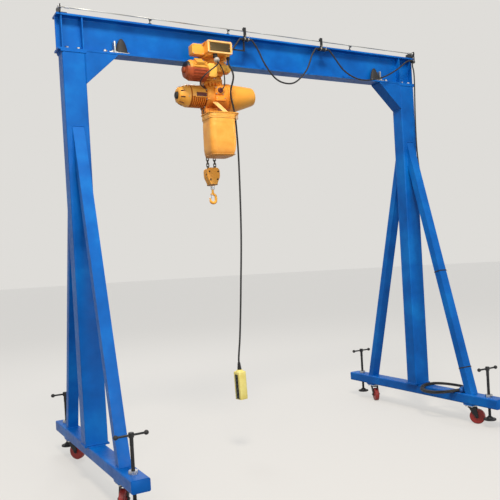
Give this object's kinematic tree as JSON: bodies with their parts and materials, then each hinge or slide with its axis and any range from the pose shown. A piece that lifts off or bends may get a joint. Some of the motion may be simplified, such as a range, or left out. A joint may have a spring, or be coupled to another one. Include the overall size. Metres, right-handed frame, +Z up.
{
  "type": "gantry crane",
  "caption": "Portable steel gantry crane: an I-beam on braced columns with casters and floor jacks, carrying an electric chain hoist on a motor trolley.",
  "frame": {"origin": "on the floor, midway between the columns and midway along the base beams", "axes": "+X along the girder, from the end where the hoist is to the end with the supply cable; +Y along the base beams, away from the side with the festoon; +Z up"},
  "size_m": [3.354, 1.88, 3.3113],
  "materials": {
    "blue_paint": "gloss",
    "orange_paint": "semi-gloss",
    "bright_steel": "satin",
    "black_steel": "satin",
    "red_polyurethane": "matte",
    "black_rubber": "matte",
    "cable_rubber": "matte",
    "yellow_cloth": "matte",
    "yellow_plastic": "satin",
    "blue_plastic": "satin"
  },
  "bodies": {
    "frame": {"girder": "blue_paint", "column_left": "blue_paint", "column_right": "blue_paint", "haunch_left": "blue_paint", "haunch_right": "blue_paint", "brace_left_front": "blue_paint", "brace_left_back": "blue_paint", "brace_right_front": "blue_paint", "brace_right_back": "blue_paint", "base_beam_left": "blue_paint", "base_beam_right": "blue_paint", "caster_plates": "bright_steel", "jack_nuts": "bright_steel", "end_stops": "blue_paint", "end_buffers": "black_rubber", "wire_rope": "bright_steel", "rope_brackets": "black_steel", "cable_clips": "black_steel", "festoon_cable": "cable_rubber", "supply_cable": "cable_rubber", "supply_coil": "cable_rubber", "supply_plug": "blue_plastic"},
    "caster_fork_left_front": {"caster_fork_left_front": "black_steel"},
    "caster_wheel_left_front": {"caster_wheel_left_front": "red_polyurethane"},
    "jack_left_front": {"jack_left_front": "black_steel"},
    "caster_fork_left_back": {"caster_fork_left_back": "black_steel"},
    "caster_wheel_left_back": {"caster_wheel_left_back": "red_polyurethane"},
    "jack_left_back": {"jack_left_back": "black_steel"},
    "caster_fork_right_front": {"caster_fork_right_front": "black_steel"},
    "caster_wheel_right_front": {"caster_wheel_right_front": "red_polyurethane"},
    "jack_right_front": {"jack_right_front": "black_steel"},
    "caster_fork_right_back": {"caster_fork_right_back": "black_steel"},
    "caster_wheel_right_back": {"caster_wheel_right_back": "red_polyurethane"},
    "jack_right_back": {"jack_right_back": "black_steel"},
    "trolley": {"trolley_plate_front": "orange_paint", "trolley_plate_back": "orange_paint", "trolley_wheels": "bright_steel", "trolley_rods": "bright_steel", "trolley_motor": "orange_paint", "control_box": "orange_paint", "cable_glands": "bright_steel", "suspension": "orange_paint", "hoist_casting": "orange_paint", "hoist_motor": "orange_paint", "hoist_fan_cover": "orange_paint", "hoist_gear_cover": "orange_paint", "bag_hanger": "bright_steel", "chain_bag": "yellow_cloth", "load_chain": "bright_steel", "tow_arm": "black_steel", "pendant_cable": "cable_rubber", "pendant": "yellow_plastic"},
    "cable_carrier": {"cable_carrier": "black_steel"},
    "hook_block": {"hook_block": "orange_paint"},
    "hook": {"hook": "orange_paint"},
    "hook_latch": {"hook_latch": "bright_steel"}
  },
  "joints": [
    {"name": "caster_swivel_left_front", "type": "hinge", "parent": "frame", "child": "caster_fork_left_front", "pos_m": [-1.52, -0.635, 0.14], "axis": [0, 0, 1], "continuous": true},
    {"name": "caster_roll_left_front", "type": "hinge", "parent": "caster_fork_left_front", "child": "caster_wheel_left_front", "pos_m": [-1.54125, -0.6665, 0.0625], "axis": [0.829, -0.5592, 0], "continuous": true},
    {"name": "jack_screw_left_front", "type": "slide", "parent": "frame", "child": "jack_left_front", "axis": [0, 0, 1], "range_m": [-0.06, 0.065]},
    {"name": "caster_swivel_left_back", "type": "hinge", "parent": "frame", "child": "caster_fork_left_back", "pos_m": [-1.52, 0.635, 0.14], "axis": [0, 0, 1], "continuous": true},
    {"name": "caster_roll_left_back", "type": "hinge", "parent": "caster_fork_left_back", "child": "caster_wheel_left_back", "pos_m": [-1.4966, 0.60506, 0.0625], "axis": [0.788, 0.6157, 0], "continuous": true},
    {"name": "jack_screw_left_back", "type": "slide", "parent": "frame", "child": "jack_left_back", "axis": [0, 0, 1], "range_m": [-0.06, 0.065]},
    {"name": "caster_swivel_right_front", "type": "hinge", "parent": "frame", "child": "caster_fork_right_front", "pos_m": [1.52, -0.635, 0.14], "axis": [0, 0, 1], "continuous": true},
    {"name": "caster_roll_right_front", "type": "hinge", "parent": "caster_fork_right_front", "child": "caster_wheel_right_front", "pos_m": [1.53957, -0.66757, 0.0625], "axis": [0.8572, 0.515, 0], "continuous": true},
    {"name": "jack_screw_right_front", "type": "slide", "parent": "frame", "child": "jack_right_front", "axis": [0, 0, 1], "range_m": [-0.06, 0.065]},
    {"name": "caster_swivel_right_back", "type": "hinge", "parent": "frame", "child": "caster_fork_right_back", "pos_m": [1.52, 0.635, 0.14], "axis": [0, 0, 1], "continuous": true},
    {"name": "caster_roll_right_back", "type": "hinge", "parent": "caster_fork_right_back", "child": "caster_wheel_right_back", "pos_m": [1.50515, 0.60002, 0.0625], "axis": [0.9205, -0.3907, 0], "continuous": true},
    {"name": "jack_screw_right_back", "type": "slide", "parent": "frame", "child": "jack_right_back", "axis": [0, 0, 1], "range_m": [-0.06, 0.065]},
    {"name": "trolley_travel", "type": "slide", "parent": "frame", "child": "trolley", "axis": [1, 0, 0], "range_m": [-0.558, 1.458], "deforming": ["festoon_cable"]},
    {"name": "carrier_slide", "type": "slide", "parent": "frame", "child": "cable_carrier", "axis": [1, 0, 0], "range_m": [-0.36, 0.92]},
    {"name": "hook_lift", "type": "slide", "parent": "trolley", "child": "hook_block", "axis": [0, 0, 1], "range_m": [-1.85, 0.36], "deforming": ["load_chain"]},
    {"name": "hook_swivel", "type": "hinge", "parent": "hook_block", "child": "hook", "pos_m": [-0.485, 0, 2.05], "axis": [0, 0, 1], "continuous": true},
    {"name": "latch_hinge", "type": "hinge", "parent": "hook", "child": "hook_latch", "pos_m": [-0.498, 0, 2.005], "axis": [0, -1, 0], "range_deg": [0, 38], "stiffness_Nm_per_rad": 0.05, "springref_deg": -17.19}
  ],
  "couplings": [
    {"joint": "carrier_slide", "follows": "trolley_travel", "ratio": 0.626}
  ]
}
